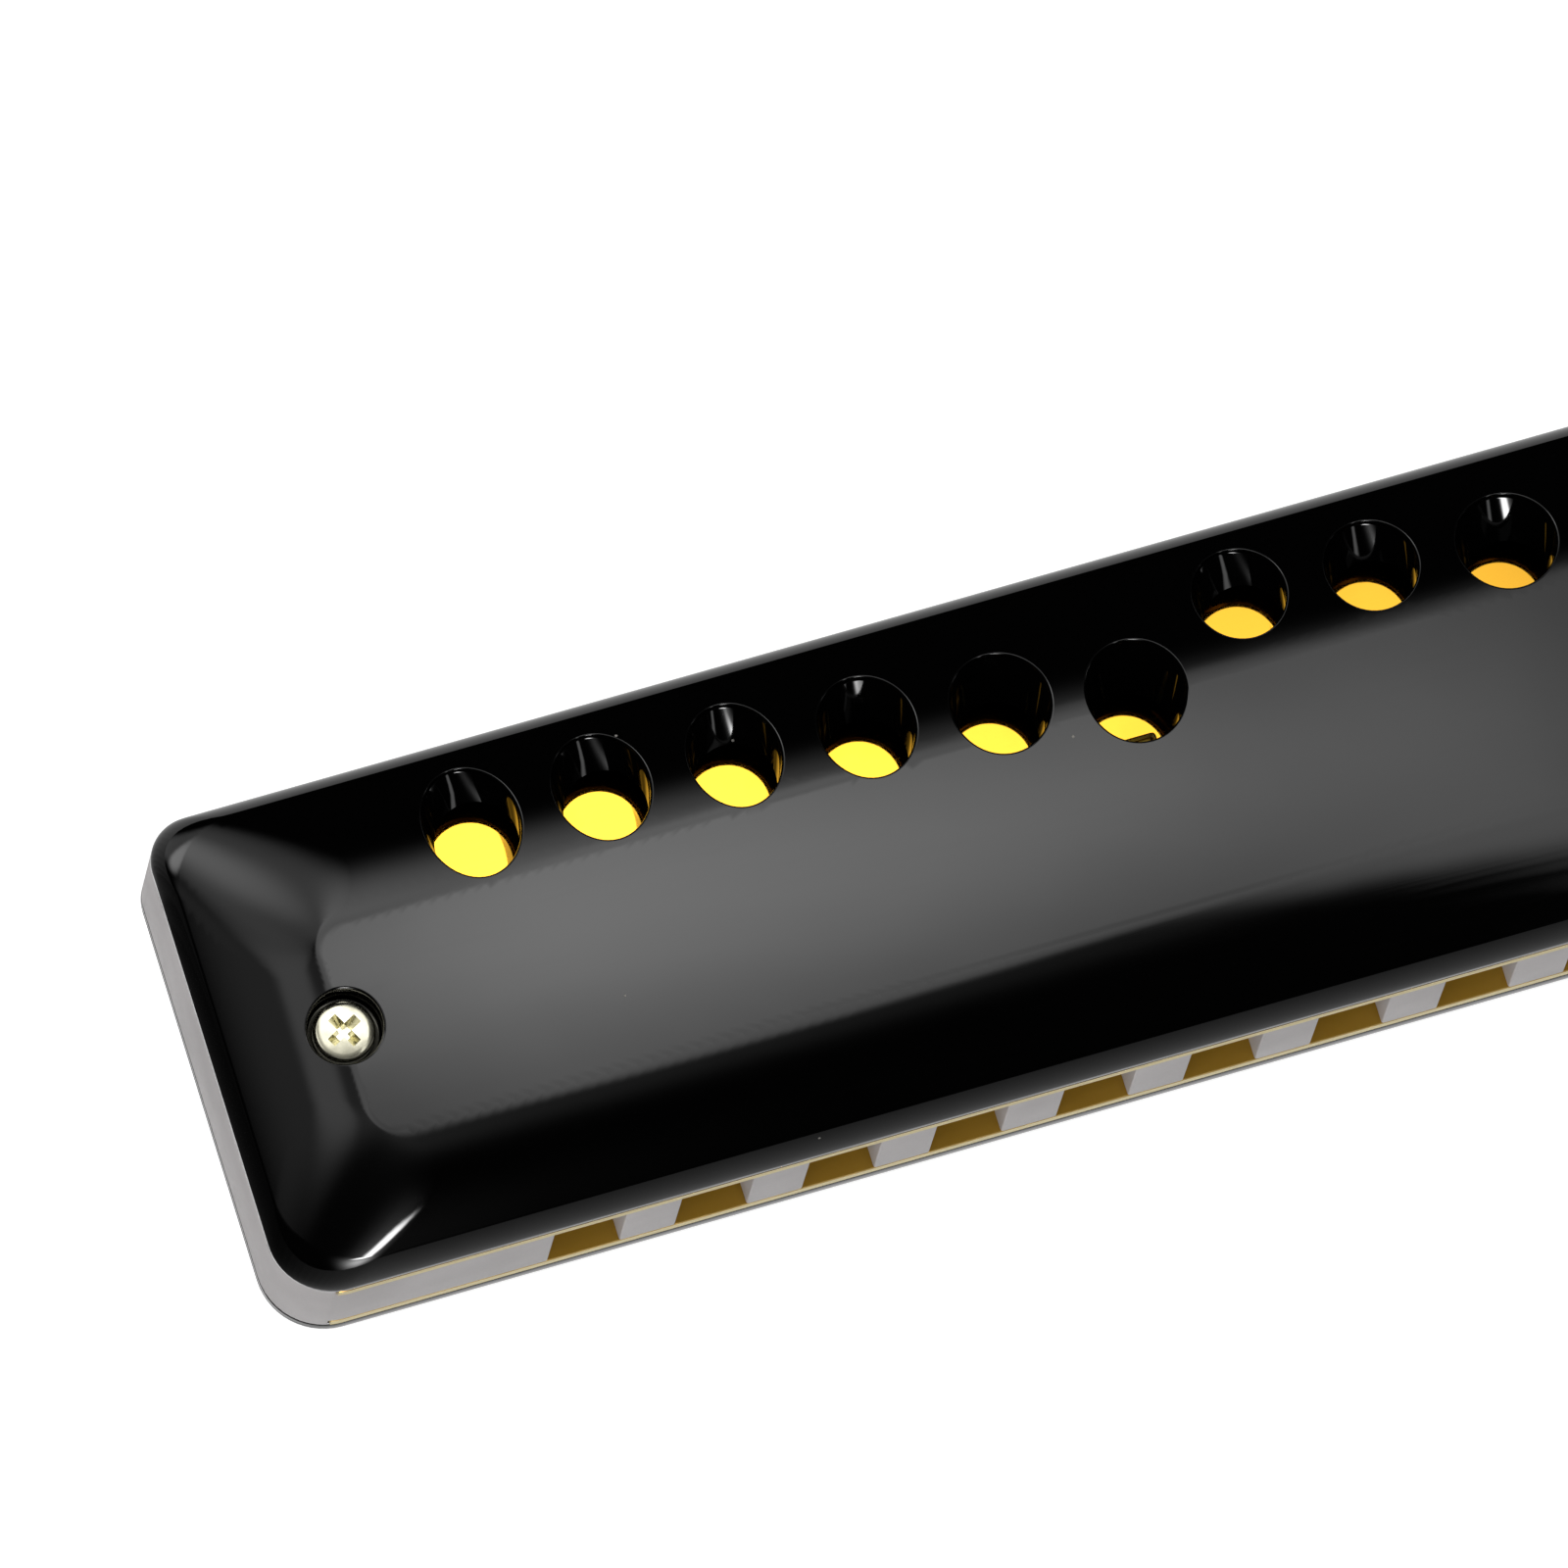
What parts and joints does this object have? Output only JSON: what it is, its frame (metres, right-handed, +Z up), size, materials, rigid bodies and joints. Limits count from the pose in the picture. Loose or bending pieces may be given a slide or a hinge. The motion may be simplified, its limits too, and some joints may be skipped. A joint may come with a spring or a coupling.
{
  "type": "diatonic harmonica",
  "caption": "Pocket mouth organ: grey comb between brass reed plates, under two glossy black pillow-shaped covers with round vents along the back.",
  "frame": {"origin": "under the middle of the bottom cover, in the plane that the instrument rests on", "axes": "+X along the row of holes from the low notes to the high notes, +Y away from the player's mouth, +Z up"},
  "size_m": [0.1034, 0.0284, 0.0213],
  "materials": {
    "cover_plastic": "black, mirror gloss",
    "comb_plastic": "light grey, fine satin",
    "plate_brass": "rolled sheet, bright edges",
    "reed_brass": "ground and polished",
    "nickel_steel": "nickel plated"
  },
  "bodies": {
    "body": {"comb": "comb_plastic", "upper_reed_plate": "plate_brass", "lower_reed_plate": "plate_brass", "top_cover": "cover_plastic", "bottom_cover": "cover_plastic", "cover_bolt_left": "nickel_steel", "cover_bolt_right": "nickel_steel", "cover_nut_left": "nickel_steel", "cover_nut_right": "nickel_steel", "upper_plate_screw_left": "nickel_steel", "upper_plate_screw_right": "nickel_steel", "lower_plate_screw_left": "nickel_steel", "lower_plate_screw_right": "nickel_steel", "blow_rivet_1": "reed_brass", "blow_rivet_2": "reed_brass", "blow_rivet_3": "reed_brass", "blow_rivet_4": "reed_brass", "blow_rivet_5": "reed_brass", "blow_rivet_6": "reed_brass", "blow_rivet_7": "reed_brass", "blow_rivet_8": "reed_brass", "blow_rivet_9": "reed_brass", "blow_rivet_10": "reed_brass", "draw_rivet_1": "reed_brass", "draw_rivet_2": "reed_brass", "draw_rivet_3": "reed_brass", "draw_rivet_4": "reed_brass", "draw_rivet_5": "reed_brass", "draw_rivet_6": "reed_brass", "draw_rivet_7": "reed_brass", "draw_rivet_8": "reed_brass", "draw_rivet_9": "reed_brass", "draw_rivet_10": "reed_brass"},
    "blow_reed_1_body": {"blow_reed_1": "reed_brass"},
    "blow_reed_2_body": {"blow_reed_2": "reed_brass"},
    "blow_reed_3_body": {"blow_reed_3": "reed_brass"},
    "blow_reed_4_body": {"blow_reed_4": "reed_brass"},
    "blow_reed_5_body": {"blow_reed_5": "reed_brass"},
    "blow_reed_6_body": {"blow_reed_6": "reed_brass"},
    "blow_reed_7_body": {"blow_reed_7": "reed_brass"},
    "blow_reed_8_body": {"blow_reed_8": "reed_brass"},
    "blow_reed_9_body": {"blow_reed_9": "reed_brass"},
    "blow_reed_10_body": {"blow_reed_10": "reed_brass"},
    "draw_reed_1_body": {"draw_reed_1": "reed_brass"},
    "draw_reed_2_body": {"draw_reed_2": "reed_brass"},
    "draw_reed_3_body": {"draw_reed_3": "reed_brass"},
    "draw_reed_4_body": {"draw_reed_4": "reed_brass"},
    "draw_reed_5_body": {"draw_reed_5": "reed_brass"},
    "draw_reed_6_body": {"draw_reed_6": "reed_brass"},
    "draw_reed_7_body": {"draw_reed_7": "reed_brass"},
    "draw_reed_8_body": {"draw_reed_8": "reed_brass"},
    "draw_reed_9_body": {"draw_reed_9": "reed_brass"},
    "draw_reed_10_body": {"draw_reed_10": "reed_brass"}
  },
  "joints": [
    {"name": "blow_swing_1", "type": "hinge", "parent": "body", "child": "blow_reed_1_body", "pos_m": [-0.03375, 0.0063, 0.01362], "axis": [1, 0, 0], "range_deg": [-3, 3], "stiffness_Nm_per_rad": 0.003},
    {"name": "blow_swing_2", "type": "hinge", "parent": "body", "child": "blow_reed_2_body", "pos_m": [-0.02625, 0.0063, 0.01362], "axis": [1, 0, 0], "range_deg": [-3, 3], "stiffness_Nm_per_rad": 0.003},
    {"name": "blow_swing_3", "type": "hinge", "parent": "body", "child": "blow_reed_3_body", "pos_m": [-0.01875, 0.0063, 0.01362], "axis": [1, 0, 0], "range_deg": [-3, 3], "stiffness_Nm_per_rad": 0.003},
    {"name": "blow_swing_4", "type": "hinge", "parent": "body", "child": "blow_reed_4_body", "pos_m": [-0.01125, 0.0063, 0.01362], "axis": [1, 0, 0], "range_deg": [-3, 3], "stiffness_Nm_per_rad": 0.003},
    {"name": "blow_swing_5", "type": "hinge", "parent": "body", "child": "blow_reed_5_body", "pos_m": [-0.00375, 0.0063, 0.01362], "axis": [1, 0, 0], "range_deg": [-3, 3], "stiffness_Nm_per_rad": 0.003},
    {"name": "blow_swing_6", "type": "hinge", "parent": "body", "child": "blow_reed_6_body", "pos_m": [0.00375, 0.0063, 0.01362], "axis": [1, 0, 0], "range_deg": [-3, 3], "stiffness_Nm_per_rad": 0.003},
    {"name": "blow_swing_7", "type": "hinge", "parent": "body", "child": "blow_reed_7_body", "pos_m": [0.01125, 0.0063, 0.01362], "axis": [1, 0, 0], "range_deg": [-3, 3], "stiffness_Nm_per_rad": 0.003},
    {"name": "blow_swing_8", "type": "hinge", "parent": "body", "child": "blow_reed_8_body", "pos_m": [0.01875, 0.0063, 0.01362], "axis": [1, 0, 0], "range_deg": [-3, 3], "stiffness_Nm_per_rad": 0.003},
    {"name": "blow_swing_9", "type": "hinge", "parent": "body", "child": "blow_reed_9_body", "pos_m": [0.02625, 0.0063, 0.01362], "axis": [1, 0, 0], "range_deg": [-3, 3], "stiffness_Nm_per_rad": 0.003},
    {"name": "blow_swing_10", "type": "hinge", "parent": "body", "child": "blow_reed_10_body", "pos_m": [0.03375, 0.0063, 0.01362], "axis": [1, 0, 0], "range_deg": [-3, 3], "stiffness_Nm_per_rad": 0.003},
    {"name": "draw_swing_1", "type": "hinge", "parent": "body", "child": "draw_reed_1_body", "pos_m": [-0.03375, -0.0104, 0.00622], "axis": [1, 0, 0], "range_deg": [-3, 3], "stiffness_Nm_per_rad": 0.003},
    {"name": "draw_swing_2", "type": "hinge", "parent": "body", "child": "draw_reed_2_body", "pos_m": [-0.02625, -0.0104, 0.00622], "axis": [1, 0, 0], "range_deg": [-3, 3], "stiffness_Nm_per_rad": 0.003},
    {"name": "draw_swing_3", "type": "hinge", "parent": "body", "child": "draw_reed_3_body", "pos_m": [-0.01875, -0.0104, 0.00622], "axis": [1, 0, 0], "range_deg": [-3, 3], "stiffness_Nm_per_rad": 0.003},
    {"name": "draw_swing_4", "type": "hinge", "parent": "body", "child": "draw_reed_4_body", "pos_m": [-0.01125, -0.0104, 0.00622], "axis": [1, 0, 0], "range_deg": [-3, 3], "stiffness_Nm_per_rad": 0.003},
    {"name": "draw_swing_5", "type": "hinge", "parent": "body", "child": "draw_reed_5_body", "pos_m": [-0.00375, -0.0104, 0.00622], "axis": [1, 0, 0], "range_deg": [-3, 3], "stiffness_Nm_per_rad": 0.003},
    {"name": "draw_swing_6", "type": "hinge", "parent": "body", "child": "draw_reed_6_body", "pos_m": [0.00375, -0.0104, 0.00622], "axis": [1, 0, 0], "range_deg": [-3, 3], "stiffness_Nm_per_rad": 0.003},
    {"name": "draw_swing_7", "type": "hinge", "parent": "body", "child": "draw_reed_7_body", "pos_m": [0.01125, -0.0104, 0.00622], "axis": [1, 0, 0], "range_deg": [-3, 3], "stiffness_Nm_per_rad": 0.003},
    {"name": "draw_swing_8", "type": "hinge", "parent": "body", "child": "draw_reed_8_body", "pos_m": [0.01875, -0.0104, 0.00622], "axis": [1, 0, 0], "range_deg": [-3, 3], "stiffness_Nm_per_rad": 0.003},
    {"name": "draw_swing_9", "type": "hinge", "parent": "body", "child": "draw_reed_9_body", "pos_m": [0.02625, -0.0104, 0.00622], "axis": [1, 0, 0], "range_deg": [-3, 3], "stiffness_Nm_per_rad": 0.003},
    {"name": "draw_swing_10", "type": "hinge", "parent": "body", "child": "draw_reed_10_body", "pos_m": [0.03375, -0.0104, 0.00622], "axis": [1, 0, 0], "range_deg": [-3, 3], "stiffness_Nm_per_rad": 0.003}
  ]
}
